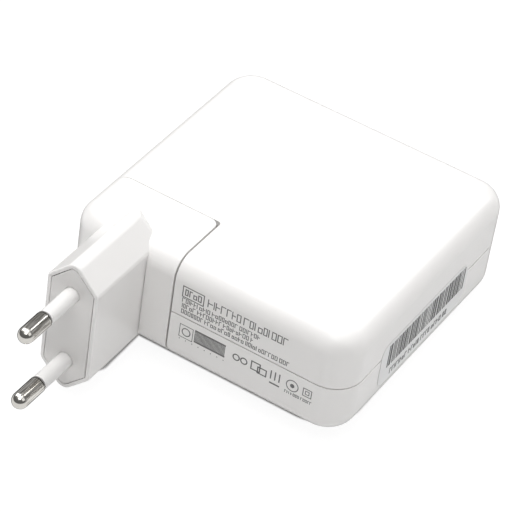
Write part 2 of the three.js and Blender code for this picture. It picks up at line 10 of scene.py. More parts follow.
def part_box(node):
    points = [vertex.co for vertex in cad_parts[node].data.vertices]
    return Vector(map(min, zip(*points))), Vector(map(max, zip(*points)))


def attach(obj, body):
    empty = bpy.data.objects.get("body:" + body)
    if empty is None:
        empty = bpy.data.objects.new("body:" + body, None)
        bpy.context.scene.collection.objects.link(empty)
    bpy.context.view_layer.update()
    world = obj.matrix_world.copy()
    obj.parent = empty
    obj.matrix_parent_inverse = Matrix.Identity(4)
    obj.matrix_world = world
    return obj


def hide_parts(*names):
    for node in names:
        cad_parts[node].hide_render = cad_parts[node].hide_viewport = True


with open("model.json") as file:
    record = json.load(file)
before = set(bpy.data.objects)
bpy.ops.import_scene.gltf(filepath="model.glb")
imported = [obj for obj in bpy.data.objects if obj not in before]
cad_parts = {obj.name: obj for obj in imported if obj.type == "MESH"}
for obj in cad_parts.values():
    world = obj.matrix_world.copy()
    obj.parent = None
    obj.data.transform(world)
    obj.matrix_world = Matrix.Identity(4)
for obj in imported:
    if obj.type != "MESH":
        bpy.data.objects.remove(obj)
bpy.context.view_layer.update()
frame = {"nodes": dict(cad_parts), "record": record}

# Looks, light and camera of a laptop power adapter: a square white mains brick whose corner
# plug head slides off. Pieces are modelled in millimetres, in the adapter's own frame: the
# origin is the centre of the brick's flat bottom, +Z is up, the pins point along -Y and the
# output socket opens along +Y. A finished piece is scaled to metres.

MM = 0.001

# ---------------------------------------------------------------- sizes and places


def box_mm(node):
    low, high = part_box(node)
    return low / MM, high / MM


HALF = box_mm("lower_shell")[1].x
HEIGHT = box_mm("upper_shell")[1].z
MID_Z = HEIGHT / 2
CORNER_RADIUS = 7.5  # upright corners of the brick
EDGE_RADIUS = 5.0  # edges round its top and bottom
WALL = 2.2
SEAM = 0.3  # gap where two mouldings meet
LIP_INSET = 1.3
LIP_RISE = 1.2

HEAD_X = box_mm("head_shell")[1].x  # faces of the head that meet the brick
HEAD_Y = box_mm("head_shell")[1].y
SIDE_SEAM = 0.42
BACK_SEAM = 0.12  # the head is pushed home, so its back face almost touches
NOTCH_X = HEAD_X + SIDE_SEAM
NOTCH_Y = HEAD_Y + BACK_SEAM
NOTCH_RADIUS = 0.8
HEAD_RADIUS = 2.0

CAP_LOW, CAP_HIGH = box_mm("head_end_cap")
PLUG_X = (CAP_LOW.x + CAP_HIGH.x) / 2
PLUG_FACE_Y = CAP_LOW.y
CAP_BACK_Y = CAP_HIGH.y
CAP_INSET = 1.1
CAP_GAP = 0.14
PLUG_WIDTH = CAP_HIGH.x - CAP_LOW.x + 2 * CAP_INSET
PLUG_TIP = 18.685  # from the plug's middle to where its sloping faces would meet
PLUG_TIP_RADIUS = 2.5
PLUG_SIDE_RADIUS = 1.5
PLUG_BACK_Y = -29.5  # back end of the ridges on the head
PLUG_FADE = 3.6
PLUG_WALL = 2.0
RIM_RADIUS = 0.4
GROOVE_WIDTH = 0.22  # a fine groove round the plug where it leaves the head
GROOVE_DEPTH = 0.3

PIN_LOW, PIN_HIGH = box_mm("plug_pin_upper")
PIN_RADIUS = 2.0
PIN_CORE = 1.2
PIN_TIP = 2.2  # length of the round tip
COLLAR = 0.13  # depth of the groove beside the collar
PIN_Z = {"upper": (PIN_LOW.z + PIN_HIGH.z) / 2}
PIN_Z["lower"] = HEIGHT - PIN_Z["upper"]
SLEEVE_LOW, SLEEVE_HIGH = box_mm("pin_sleeve_upper")
SLEEVE_RADIUS = 1.9
SLEEVE_BORE = 1.5

INLET_LOW, INLET_HIGH = box_mm("inlet_block")
INLET_POLE = 4.3  # the two poles' distance from the middle
INLET_BORE = 1.4
NOSE_WIDTH = 8.4
NOSE_HEIGHT = 14.0
NOSE_TIP_Y = box_mm("head_rear_cover")[1].y
NOSE_BORE = 1.9
COVER_THICKNESS = 2.2

STUD_Y = -28.0
STUD_NECK = 3.0
STUD_HEAD = 4.6
STUD_LOW, STUD_HIGH = box_mm("latch_stud")
RAIL = 2.0  # wall of the head that the stud's head holds on to
SLIDE_ROOM = 0.2
CHANNEL_ROOM = 0.9  # beyond the end of the stud
CHANNEL_WALL = 1.4

PORT_LOW, PORT_HIGH = box_mm("usb_c_shell")
PORT_X = (PORT_LOW.x + PORT_HIGH.x) / 2
PORT_WIDTH = PORT_HIGH.x - PORT_LOW.x
PORT_HEIGHT = PORT_HIGH.z - PORT_LOW.z
PORT_METAL = 0.3
TONGUE_LOW, TONGUE_HIGH = box_mm("usb_c_tongue")

LABEL_LOW, LABEL_HIGH = box_mm("rating_label")
LABEL_RADIUS = 2.5
BOARD_UNDERSIDE = box_mm("main_board")[0].z
POST_PLACES = [(29, 29), (-29, 29), (29, -29), (-2, -29), (-31, -4)]
POST_RADIUS = 2.2
POST_FOOT = 1.0  # a post starts inside the floor of the shell

BEYOND = 60.0  # cutting solids reach this far past the object
CORNER_STEPS = 12
EDGE_STEPS = 10
TURN_STEPS = 64
SMALL_EDGE = 0.1  # edges that a mould leaves

# ---------------------------------------------------------------- modelling helpers


def uprights(bm, x, y):
    """The upright edges that stand at x, y."""
    here = Vector((x, y))
    return [e for e in bm.edges if all((v.co.xy - here).length < 1e-4 for v in e.verts)]


def rim(bm, z):
    """The edges that lie at height z."""
    return [e for e in bm.edges if all(abs(v.co.z - z) < 1e-4 for v in e.verts)]


def round_edges(bm, edges, reach, steps):
    bmesh.ops.bevel(
        bm,
        geom=edges,
        offset=reach,
        offset_type="OFFSET",
        affect="EDGES",
        segments=steps,
        profile=0.5,
        material=-1,
    )


def prism(corners, low, high, steps=CORNER_STEPS):
    """An upright solid from low to high on a plan of (x, y, radius) corners."""
    bm = bmesh.new()
    base = bm.faces.new([bm.verts.new((x, y, low)) for x, y, _ in corners])
    raised = bmesh.ops.extrude_face_region(bm, geom=[base])["geom"]
    tops = [part for part in raised if isinstance(part, bmesh.types.BMVert)]
    bmesh.ops.translate(bm, verts=tops, vec=(0, 0, high - low))
    bmesh.ops.recalc_face_normals(bm, faces=bm.faces)
    places = [Vector(corner[:2]) for corner in corners]
    for i, (x, y, radius) in enumerate(corners):
        if radius > 0:
            arriving = places[i] - places[i - 1]
            leaving = places[(i + 1) % len(places)] - places[i]
            turn = abs(arriving.angle_signed(leaving))
            round_edges(bm, uprights(bm, x, y), radius * math.tan(turn / 2), steps)
    return bm


def rectangle(width, depth, radius=0.0):
    x, y = width / 2, depth / 2
    return [(-x, -y, radius), (x, -y, radius), (x, y, radius), (-x, y, radius)]


def stadium(width, depth):
    return rectangle(width, depth, min(width, depth) / 2 - 0.01)


def slab(low, high):
    """A plain block between two corners, for cutting."""
    low, high = Vector(low), Vector(high)
    bm = bmesh.new()
    bmesh.ops.create_cube(bm, size=1.0)
    bmesh.ops.scale(bm, vec=high - low, verts=bm.verts)
    bmesh.ops.translate(bm, vec=(low + high) / 2, verts=bm.verts)
    return bm


def turned(profile, steps=TURN_STEPS):
    """A solid of revolution about Y from (radius, y) points."""
    bm = bmesh.new()
    points = [bm.verts.new((radius, y, 0)) for radius, y in profile]
    lines = [bm.edges.new(pair) for pair in zip(points, points[1:])]
    bmesh.ops.spin(
        bm,
        geom=points + lines,
        cent=(0, 0, 0),
        axis=(0, 1, 0),
        dvec=(0, 0, 0),
        angle=math.tau,
        steps=steps,
        use_merge=True,
    )
    bmesh.ops.remove_doubles(bm, verts=bm.verts, dist=1e-4)
    bmesh.ops.recalc_face_normals(bm, faces=bm.faces)
    return bm


def rod(radius, start, end, steps=TURN_STEPS):
    return turned([(0, start), (radius, start), (radius, end), (0, end)], steps)


def moved(bm, x=0.0, y=0.0, z=0.0):
    bmesh.ops.translate(bm, vec=(x, y, z), verts=bm.verts)
    return bm


def rotated(bm, degrees, axis):
    matrix = Matrix.Rotation(math.radians(degrees), 3, axis)
    bmesh.ops.rotate(bm, cent=(0, 0, 0), matrix=matrix, verts=bm.verts)
    return bm


def along_y(bm, back_y, x=0.0, z=0.0):
    """A plan in x and y becomes one in x and z, and its height runs from back_y to -Y."""
    return moved(rotated(bm, 90, "X"), x, back_y, z)


def along_x(bm, start_x, y=0.0, z=0.0):
    """A plan in x and y becomes one in y and z, and its height runs towards +X."""
    return moved(rotated(rotated(bm, 90, "X"), 90, "Z"), start_x, y, z)


def working_object(bm):
    mesh = bpy.data.meshes.new("work")
    bm.to_mesh(mesh)
    bm.free()
    obj = bpy.data.objects.new("work", mesh)
    bpy.context.scene.collection.objects.link(obj)
    return obj


def with_modifiers(obj):
    """The mesh that the object's modifiers make."""
    graph = bpy.context.evaluated_depsgraph_get()
    return bpy.data.meshes.new_from_object(obj.evaluated_get(graph))


def combined(operation, body, *tools):
    """The body after a UNION, DIFFERENCE or INTERSECT with each tool in turn."""
    carrier = working_object(body)
    others = [working_object(tool) for tool in tools]
    for other in others:
        step = carrier.modifiers.new("step", "BOOLEAN")
        step.operation = operation
        step.solver = "MANIFOLD"
        step.object = other
    mesh = with_modifiers(carrier)
    for obj in [carrier, *others]:
        bpy.data.objects.remove(obj)
    result = bmesh.new()
    result.from_mesh(mesh)
    bmesh.ops.remove_doubles(result, verts=result.verts, dist=1e-4)
    bmesh.ops.dissolve_degenerate(result, dist=1e-4, edges=result.edges)
    return result


def piece(name, bm, finish, body, edge=SMALL_EDGE, replaces=()):
    """Turns a solid in millimetres into a finished piece that rides on a body."""
    obj = working_object(bm)
    if edge > 0:
        bevel = obj.modifiers.new("edges", "BEVEL")
        bevel.width = edge
        bevel.segments = 2
        bevel.limit_method = "ANGLE"
        bevel.angle_limit = math.radians(30)
        bevel.use_clamp_overlap = False
    mesh = with_modifiers(obj)
    bpy.data.objects.remove(obj)
    mesh.name = name
    mesh.transform(Matrix.Scale(MM, 4))
    mesh.shade_smooth()
    mesh.set_sharp_from_angle(angle=math.radians(35))
    mesh.materials.clear()
    mesh.materials.append(finish)
    made = bpy.data.objects.new(name, mesh)
    bpy.context.scene.collection.objects.link(made)
    weighted = made.modifiers.new("weighted", "WEIGHTED_NORMAL")
    weighted.keep_sharp = True
    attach(made, body)
    if replaces:
        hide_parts(*replaces)
    return made


# ---------------------------------------------------------------- shader helpers


class Link:
    """One output of a node. Python's operators on it add Math nodes."""

    def __init__(self, nodes, socket):
        self.nodes = nodes
        self.socket = socket

    def maths(self, operation, first, second=0.0):
        return self.nodes.add("Math", {"operation": operation}, {0: first, 1: second})

    def __add__(self, other):
        return self.maths("ADD", self, other)

    def __mul__(self, other):
        return self.maths("MULTIPLY", self, other)

    def __sub__(self, other):
        return self.maths("SUBTRACT", self, other)

    def __rsub__(self, other):
        return self.maths("SUBTRACT", other, self)

    def __truediv__(self, other):
        return self.maths("DIVIDE", self, other)

    def __pow__(self, other):
        return self.maths("POWER", self, other)

    def __abs__(self):
        return self.maths("ABSOLUTE", self)

    __radd__ = __add__
    __rmul__ = __mul__

    def ramp(self, low, high):
        """0 below low, 1 above high and smooth between."""
        settings = {"interpolation_type": "SMOOTHSTEP"}
        inputs = {"Value": self, "From Min": low, "From Max": high}
        return self.nodes.add("MapRange", settings, inputs)

    def output(self, name):
        return Link(self.nodes, self.socket.node.outputs[name])


class Nodes:
    """Fills one node tree."""

    def __init__(self, tree):
        self.tree = tree
        tree.nodes.clear()

    def add(self, kind, settings=None, inputs=None, output=0):
        """Adds a node, sets it up, joins its inputs and returns one of its outputs."""
        node = self.tree.nodes.new("ShaderNode" + kind)
        for key, value in (settings or {}).items():
            setattr(node, key, value)
        for key, value in (inputs or {}).items():
            if isinstance(value, Link):
                self.tree.links.new(value.socket, node.inputs[key])
            else:
                node.inputs[key].default_value = value
        return Link(self, node.outputs[output]) if node.outputs else node

    def place(self, stretch=(1, 1, 1)):
        """Object coordinates in millimetres, squeezed or stretched along the axes."""
        where = self.add("TexCoord", output="Object")
        scale = [factor / MM for factor in stretch]
        return self.add("VectorMath", {"operation": "MULTIPLY"}, {0: where, 1: scale})

    def noise(self, where, scale, detail, roughness=0.5):
        inputs = {"Vector": where, "Scale": scale, "Detail": detail, "Roughness": roughness}
        return self.add("TexNoise", {}, inputs, "Fac")

    def mix(self, factor, first, second):
        """A colour between two colours."""
        inputs = {0: factor, 6: first, 7: second}
        return self.add("Mix", {"data_type": "RGBA"}, inputs, 2)

    def bump(self, height):
        """The normal of a surface whose height is given in millimetres."""
        return self.add("Bump", {}, {"Height": height, "Distance": MM})


def grey(level, warmth=0.0):
    return (level * (1 + warmth), level, level * (1 - warmth), 1.0)


def material(name, build, **uniform):
    """A material: build returns what varies, and the rest is the same all over."""
    made = bpy.data.materials.new(name)
    made.use_nodes = True
    nodes = Nodes(made.node_tree)
    varied = build(nodes)
    inputs = {key.replace("_", " ").title(): value for key, value in uniform.items()}
    inputs.update(varied)
    if "IOR" not in inputs:
        inputs["IOR"] = 1.5
    shader = nodes.add("BsdfPrincipled", {}, inputs)
    nodes.add("OutputMaterial", {}, {"Surface": shader})
    return made


# ---------------------------------------------------------------- finishes

ACROSS_X = (0.04, 1, 1)  # stretches for lines that run along X, or along Y
ALONG_Y = (1, 0.05, 1)


def gloss_white(nodes):
    """A polished moulding: an even tone, faint handling marks and a trace of orange peel."""
    where = nodes.place()
    cloud = nodes.noise(where, 0.05, 3)
    handled = nodes.noise(where, 0.12, 4, 0.55)
    peel = nodes.noise(where, 0.7, 1)
    return {
        "Base Color": nodes.mix(cloud, grey(0.875, 0.018), grey(0.9, 0.013)),
        "Roughness": 0.25 + 0.03 * handled,
        "Normal": nodes.bump(0.0002 * peel),
    }


def painted_shade_plate_white(nodes):
    """The end plate's moulding, a little greyer and duller than the shell round it. Its darker grey
    is partly painted shade, standing in for the shade that falls on the end face.
    """
    where = nodes.place()
    cloud = nodes.noise(where, 0.09, 3)
    grain = nodes.noise(where, 2.5, 2)
    return {
        "Base Color": nodes.mix(cloud, grey(0.785, 0.022), grey(0.81, 0.016)),
        "Roughness": 0.34 + 0.05 * grain,
        "Normal": nodes.bump(0.0006 * grain),
    }


def satin_white(nodes):
    where = nodes.place()
    mottle = nodes.noise(where, 0.3, 3)
    grain = nodes.noise(where, 9, 3)
    return {
        "Base Color": nodes.mix(mottle, grey(0.8, 0.01), grey(0.86, 0.008)),
        "Roughness": 0.42 + 0.12 * grain,
        "Normal": nodes.bump(0.004 * grain),
    }


def sleeve_white(nodes):
    where = nodes.place((1, 0.25, 1))
    drawn = nodes.noise(where, 2.5, 3)
    return {
        "Base Color": nodes.mix(drawn, grey(0.83, 0.016), grey(0.88, 0.012)),
        "Roughness": 0.28 + 0.12 * drawn,
        "Normal": nodes.bump(0.004 * drawn),
    }


def brushed(light, dark, rough, stretch, scale=5.0, depth=0.002):
    """A metal with fine lines along the axis that stretch draws out."""

    def build(nodes):
        lines = nodes.noise(nodes.place(stretch), scale, 4, 0.65)
        cloud = nodes.noise(nodes.place(), 0.5, 3)
        return {
            "Base Color": nodes.mix(lines.ramp(0.3, 0.7), dark, light),
            "Roughness": rough + 0.12 * lines + 0.06 * cloud,
            "Normal": nodes.bump(depth * lines),
        }

    return build


def nickel_plate(nodes):
    """A bright pin: fine lines along the shank, a smooth tip and a dark joint at the sleeve."""
    where = nodes.place()
    y = nodes.add("SeparateXYZ", {}, {0: where}, "Y")
    shank = y.ramp(PIN_LOW.y + 1.2, PIN_LOW.y + 2.6)
    joint = 1 - abs(y - (SLEEVE_LOW.y - 0.4)).ramp(0.08, 0.3)
    lines = nodes.noise(nodes.place(ALONG_Y), 2.2, 4, 0.65).ramp(0.36, 0.62)
    cloud = nodes.noise(where, 0.6, 3)
    bright = (0.7 + 0.15 * cloud) * (1 - shank) + lines * shank
    plate = nodes.mix(bright, (0.26, 0.245, 0.22, 1), (0.8, 0.78, 0.74, 1))
    return {
        "Base Color": nodes.mix(0.85 * joint, plate, (0.05, 0.045, 0.04, 1)),
        "Roughness": 0.09 + 0.05 * cloud + 0.25 * joint,
        "Normal": nodes.bump(0.003 * lines * shank),
    }


def mottled(light, dark, rough, scale=1.5, depth=0.01, spread=0.15):
    """A moulded, pressed or baked surface with an uneven tone and a fine grain."""

    def build(nodes):
        where = nodes.place()
        cloud = nodes.noise(where, scale * 0.3, 3)
        grain = nodes.noise(where, scale * 4, 3, 0.6)
        return {
            "Base Color": nodes.mix(cloud.ramp(0.25, 0.75), dark, light),
            "Roughness": rough + spread * grain,
            "Normal": nodes.bump(depth * grain),
        }

    return build


def label_film(nodes):
    where = nodes.place()
    cloud = nodes.noise(where, 0.15, 3)
    grain = nodes.noise(where, 5, 2)
    return {
        "Base Color": nodes.mix(cloud, grey(0.84, 0.002), grey(0.88, -0.002)),
        "Roughness": 0.3 + 0.1 * grain,
        "Normal": nodes.bump(0.002 * grain),
    }


def printed_ink(level):
    def build(nodes):
        where = nodes.place()
        worn = nodes.noise(where, 2.2, 5, 0.7).ramp(0.45, 0.75)
        return {
            "Base Color": nodes.mix(worn * 0.35, grey(level, 0.01), grey(level * 2.2, 0.01)),
            "Roughness": 0.45 + 0.15 * worn,
        }

    return build


def board_green(nodes):
    where = nodes.place()
    tracks = nodes.add("TexBrick", {}, {"Vector": where, "Scale": 0.35, "Mortar Size": 0.03}, "Fac")
    cloud = nodes.noise(where, 0.4, 2)
    mask = nodes.mix(cloud, (0.012, 0.13, 0.05, 1), (0.02, 0.18, 0.07, 1))
    return {
        "Base Color": nodes.mix(tracks, mask, (0.05, 0.3, 0.12, 1)),
        "Roughness": 0.35 + 0.15 * cloud,
        "Normal": nodes.bump(0.03 * tracks),
    }


def wound(light, dark, pitch, rough):
    """Turns of wire or tape laid side by side along Z."""

    def build(nodes):
        where = nodes.place()
        inputs = {"Vector": where, "Scale": 1 / pitch, "Distortion": 0.3, "Detail": 1.0}
        turns = nodes.add("TexWave", {"bands_direction": "Z"}, inputs, "Fac")
        cloud = nodes.noise(where, 0.8, 2)
        return {
            "Base Color": nodes.mix(turns * (0.6 + 0.4 * cloud), dark, light),
            "Roughness": rough + 0.15 * cloud,
            "Normal": nodes.bump(0.06 * turns),
        }

    return build


FINISHES = {
    "housing_plastic": material("gloss_white_plastic", gloss_white),
    "inner_plastic": material("satin_white_plastic", satin_white),
    "sleeve_plastic": material("white_sleeve_plastic", sleeve_white),
    "pin_metal": material("nickel_plate", nickel_plate, metallic=1.0),
    "stud_metal": material(
        "turned_steel",
        brushed(grey(0.6), grey(0.42), 0.25, (0.3, 1, 1), 3),
        metallic=1.0,
    ),
    "port_metal": material(
        "drawn_steel",
        brushed(grey(0.68, 0.01), grey(0.5, 0.01), 0.2, ALONG_Y, 4),
        metallic=1.0,
    ),
    "contact_metal": material(
        "rolled_brass",
        brushed((0.8, 0.58, 0.26, 1), (0.62, 0.42, 0.17, 1), 0.22, ALONG_Y, 4),
        metallic=1.0,
    ),
    "label_film": material("label_film", label_film),
    "board_laminate": material("board_laminate", board_green),
    "insulating_paper": material(
        "insulating_paper",
        mottled((0.62, 0.6, 0.52, 1), (0.5, 0.48, 0.4, 1), 0.7, 2, 0.02),
    ),
    "sheet_aluminium": material(
        "sheet_aluminium",
        brushed(grey(0.75), grey(0.6), 0.3, ACROSS_X, 3),
        metallic=1.0,
    ),
    "ferrite": material("ferrite", mottled(grey(0.05), grey(0.02), 0.55, 2, 0.03)),
    "enamelled_copper": material(
        "enamelled_copper",
        wound((0.75, 0.34, 0.14, 1), (0.28, 0.1, 0.04, 1), 1.3, 0.25),
        metallic=0.9,
    ),
    "winding_tape": material(
        "winding_tape",
        wound((0.82, 0.6, 0.1, 1), (0.66, 0.44, 0.05, 1), 6.0, 0.35),
    ),
    "black_epoxy": material("black_epoxy", mottled(grey(0.03), grey(0.015), 0.4, 3, 0.01)),
    "capacitor_sleeve": material(
        "capacitor_sleeve",
        mottled((0.03, 0.035, 0.06, 1), (0.015, 0.018, 0.035, 1), 0.25, 0.6, 0.01),
    ),
    "blue_lacquer": material(
        "blue_lacquer",
        mottled((0.04, 0.16, 0.5, 1), (0.02, 0.1, 0.38, 1), 0.25, 0.8, 0.03),
    ),
    "wire_insulation": material(
        "wire_insulation",
        mottled((0.12, 0.1, 0.1, 1), (0.06, 0.05, 0.05, 1), 0.4, 1.2, 0.01),
    ),
    "gap_filler": material(
        "gap_filler",
        mottled((0.5, 0.52, 0.56, 1), (0.38, 0.4, 0.44, 1), 0.75, 2, 0.04),
    ),
}
# the end plate's darker white is partly painted shade on the end face
PAINTED_SHADE_PLATE_WHITE = material("painted_shade_plate_plastic", painted_shade_plate_white)
FRONT_INK = material("grey_print", printed_ink(0.12))
LABEL_INK = material("label_print", printed_ink(0.045))

# ---------------------------------------------------------------- the brick's mouldings


def rounded_box(inset):
    """The rounded box that brick and head make together, moved inwards by inset."""
    side = 2 * (HALF - inset)
    low, high = inset, HEIGHT - inset
    bm = prism(rectangle(side, side, CORNER_RADIUS - inset), low, high)
    round_edges(bm, rim(bm, low) + rim(bm, high), EDGE_RADIUS - inset, EDGE_STEPS)
    return bm


def notch(inset):
    """The corner that the plug head takes up, moved into the brick by inset."""
    x, y = NOTCH_X + inset, NOTCH_Y + inset
    radius = NOTCH_RADIUS + inset
    corners = [(-BEYOND, -BEYOND, 0), (x, -BEYOND, 0), (x, y, radius), (-BEYOND, y, 0)]
    return prism(corners, -BEYOND, BEYOND)


def brick_band(inset, low, high):
    """The brick's plan moved inwards by inset, as an upright solid."""
    side = 2 * (HALF - inset)
    band = prism(rectangle(side, side, CORNER_RADIUS - inset), low, high)
    return combined("DIFFERENCE", band, notch(inset))


def brick_room():
    return combined("DIFFERENCE", rounded_box(WALL), notch(WALL))


def openings():
    """Holes for the stud, the inlet and the output socket."""
    stud = rotated(rod(STUD_NECK + SEAM, -2 * WALL, 2 * WALL), -90, "Z")
    size = INLET_HIGH - INLET_LOW
    inlet = prism(rectangle(size.x + SEAM, size.z + SEAM, 1.1), 0, 3 * WALL)
    port_cut = 20.0
    port = prism(stadium(PORT_WIDTH + SEAM, PORT_HEIGHT + SEAM), 0, port_cut)
    return [
        moved(stud, NOTCH_X, STUD_Y, MID_Z),
        along_y(inlet, NOTCH_Y + 2 * WALL, PLUG_X, MID_Z),
        along_y(port, HALF + port_cut / 2, PORT_X, MID_Z),
    ]


def lower_housing():
    top = MID_Z - SEAM / 2
    lip_top = MID_Z + LIP_RISE
    body = combined("INTERSECT", rounded_box(0), slab([-BEYOND] * 3, (BEYOND, BEYOND, top)))
    body = combined("DIFFERENCE", body, notch(0))
    body = combined("UNION", body, brick_band(LIP_INSET, top - 2, lip_top))
    body = combined("DIFFERENCE", body, brick_room())
    posts = [
        moved(rotated(rod(POST_RADIUS, POST_FOOT, BOARD_UNDERSIDE - SEAM, 24), 90, "X"), x, y, 0)
        for x, y in POST_PLACES
    ]
    return combined("DIFFERENCE", combined("UNION", body, *posts), *openings())


def upper_housing():
    bottom = MID_Z + SEAM / 2
    body = combined("INTERSECT", rounded_box(0), slab((-BEYOND, -BEYOND, bottom), [BEYOND] * 3))
    rebate = brick_band(LIP_INSET - 0.1, MID_Z - 2, MID_Z + LIP_RISE + SEAM)
    body = combined("DIFFERENCE", body, notch(0), brick_room(), rebate)
    return combined("DIFFERENCE", body, *openings())


# ---------------------------------------------------------------- the plug head


def plug_corners(inset, tip_radius, side_radius):
    """The plug's six-sided outline about its own middle, in x and z."""
    tip = PLUG_TIP - inset * math.sqrt(2)
    side = PLUG_WIDTH / 2 - inset
    shoulder = tip - side
    return [
        (0, -tip, tip_radius),
        (side, -shoulder, side_radius),
        (side, shoulder, side_radius),
        (0, tip, tip_radius),
        (-side, shoulder, side_radius),
        (-side, -shoulder, side_radius),
    ]


def plug_prism(inset, front_y, back_y, rim_radius=0.0):
    corners = plug_corners(
        inset,
        max(PLUG_TIP_RADIUS - inset, 0.5),
        max(PLUG_SIDE_RADIUS - inset, 0.5),
    )
    length = back_y - front_y
    bm = prism(corners, 0, length, 8)
    if rim_radius > 0:
        round_edges(bm, rim(bm, length), rim_radius, 4)
    return along_y(bm, back_y, PLUG_X, MID_Z)


def plug_body():
    """The plug's prism, whose ridges fade into the head in a rounded back end."""
    body = plug_prism(0, PLUG_FACE_Y, PLUG_BACK_Y, RIM_RADIUS)
    fading = prism(plug_corners(0, 0, 0), 0, BEYOND)
    round_edges(fading, rim(fading, 0), PLUG_FADE, EDGE_STEPS)
    return combined("INTERSECT", body, along_y(fading, PLUG_BACK_Y, PLUG_X, MID_Z))


def head_housing():
    x, y = HEAD_X, HEAD_Y
    plan = [(-BEYOND, -BEYOND, 0), (x, -BEYOND, 0), (x, y, HEAD_RADIUS), (-BEYOND, y, 0)]
    corner = combined("INTERSECT", rounded_box(0), prism(plan, -BEYOND, BEYOND))
    body = combined("UNION", corner, plug_body())
    groove = combined(
        "DIFFERENCE",
        plug_prism(-GROOVE_WIDTH, -HALF - 1, -HALF + GROOVE_DEPTH),
        plug_prism(0, -HALF - 2, -HALF + 1),
    )
    body = combined("DIFFERENCE", body, groove)

    channel_x = STUD_LOW.x - CHANNEL_ROOM
    room_x = channel_x - CHANNEL_WALL
    beside_channel = slab((-BEYOND, -BEYOND, -1), (room_x, y + 1, BEYOND))
    room = combined("INTERSECT", rounded_box(WALL), beside_channel)
    bore = plug_prism(PLUG_WALL, PLUG_FACE_Y - 1, -HALF + WALL + 0.1)
    cap_seat = plug_prism(CAP_INSET - CAP_GAP, PLUG_FACE_Y - 1, CAP_BACK_Y + SEAM)
    half_channel = STUD_HEAD + SEAM + SLIDE_ROOM
    channel = slab(
        (channel_x, STUD_Y - half_channel, MID_Z - half_channel),
        (HEAD_X - RAIL, y + 1, MID_Z + half_channel),
    )
    half_slot = STUD_NECK + SEAM + SLIDE_ROOM
    slot = slab(
        (HEAD_X - RAIL - 1, STUD_Y - half_slot, MID_Z - half_slot),
        (HEAD_X + 1, y + 1, MID_Z + half_slot),
    )
    return combined("DIFFERENCE", body, room, bore, cap_seat, channel, slot)


def end_plate():
    plate = plug_prism(CAP_INSET, PLUG_FACE_Y, CAP_BACK_Y)
    holes = [
        moved(rod(SLEEVE_RADIUS + 0.07, PLUG_FACE_Y - 1, CAP_BACK_Y + 1), PLUG_X, 0, z)
        for z in PIN_Z.values()
    ]
    return combined("DIFFERENCE", plate, *holes)


def plug_pin(z):
    """A metal pin: bullet tip, plain shank, rolled collar and the core in the sleeve."""
    tip_y, tail_y = PIN_LOW.y, PIN_HIGH.y
    shoulder_y = SLEEVE_LOW.y - SEAM
    turns = [math.radians(degrees) for degrees in range(0, 91, 6)]
    bullet = [(PIN_RADIUS * math.sin(a), tip_y + PIN_TIP * (1 - math.cos(a))) for a in turns]
    collar = [
        (PIN_RADIUS, shoulder_y - 0.62),
        (PIN_RADIUS - COLLAR, shoulder_y - 0.5),
        (PIN_RADIUS - COLLAR, shoulder_y - 0.38),
        (PIN_RADIUS, shoulder_y - 0.26),
        (PIN_RADIUS, shoulder_y - 0.12),
        (PIN_RADIUS - 0.14, shoulder_y),
        (PIN_CORE, shoulder_y),
    ]
    tail = [(PIN_CORE, tail_y), (0, tail_y)]
    return moved(turned([*bullet, *collar, *tail]), PLUG_X, 0, z)


def pin_sleeve(z):
    front, back, edge = SLEEVE_LOW.y, SLEEVE_HIGH.y, 0.18
    profile = [
        (SLEEVE_BORE, front),
        (SLEEVE_RADIUS - edge, front),
        (SLEEVE_RADIUS - 0.3 * edge, front + 0.3 * edge),
        (SLEEVE_RADIUS, front + edge),
        (SLEEVE_RADIUS, back),
        (SLEEVE_BORE, back),
        (SLEEVE_BORE, front),
    ]
    return moved(turned(profile), PLUG_X, 0, z)


def back_plate():
    """The plate that closes the back of the head, with its two-pole nose."""
    low, high = box_mm("head_rear_cover")
    left, right = low.x - PLUG_X, high.x - PLUG_X
    reach = MID_Z - WALL - SEAM
    corners = [
        (left, -reach, EDGE_RADIUS - WALL),
        (right, -reach, 0.4),
        (right, reach, 0.4),
        (left, reach, EDGE_RADIUS - WALL),
    ]
    plate = along_y(prism(corners, 0, COVER_THICKNESS), HEAD_Y, PLUG_X, MID_Z)
    nose = prism(stadium(NOSE_WIDTH, NOSE_HEIGHT), 0, NOSE_TIP_Y - HEAD_Y + 1)
    round_edges(nose, rim(nose, 0), 0.6, 4)
    nose = along_y(nose, NOSE_TIP_Y, PLUG_X, MID_Z)
    bores = [
        moved(rod(NOSE_BORE, HEAD_Y - 4, NOSE_TIP_Y + 1), PLUG_X, 0, MID_Z + side * INLET_POLE)
        for side in (-1, 1)
    ]
    return combined("DIFFERENCE", combined("UNION", plate, nose), *bores)


# ---------------------------------------------------------------- inlet, stud and output socket


def inlet_insert():
    size = INLET_HIGH - INLET_LOW
    block = prism(rectangle(size.x, size.z, 1.0), 0, size.y)
    mouth = prism(stadium(NOSE_WIDTH + 2 * SEAM, NOSE_HEIGHT + 2 * SEAM), 1.8, BEYOND)
    holes = [
        moved(rotated(rod(INLET_BORE, -BEYOND, BEYOND), 90, "X"), 0, side * INLET_POLE, 0)
        for side in (-1, 1)
    ]
    insert = combined("DIFFERENCE", block, mouth, *holes)
    return along_y(insert, INLET_HIGH.y, PLUG_X, MID_Z)


def inlet_prong(node):
    low, high = box_mm(node)
    radius = (high.x - low.x) / 2
    profile = [
        (0, low.y),
        (0.45 * radius, low.y),
        (0.8 * radius, low.y + 0.2),
        (radius, low.y + 0.7),
        (radius, high.y - 0.2),
        (radius - 0.2, high.y),
        (0, high.y),
    ]
    return moved(turned(profile, 32), PLUG_X, 0, (low.z + high.z) / 2)


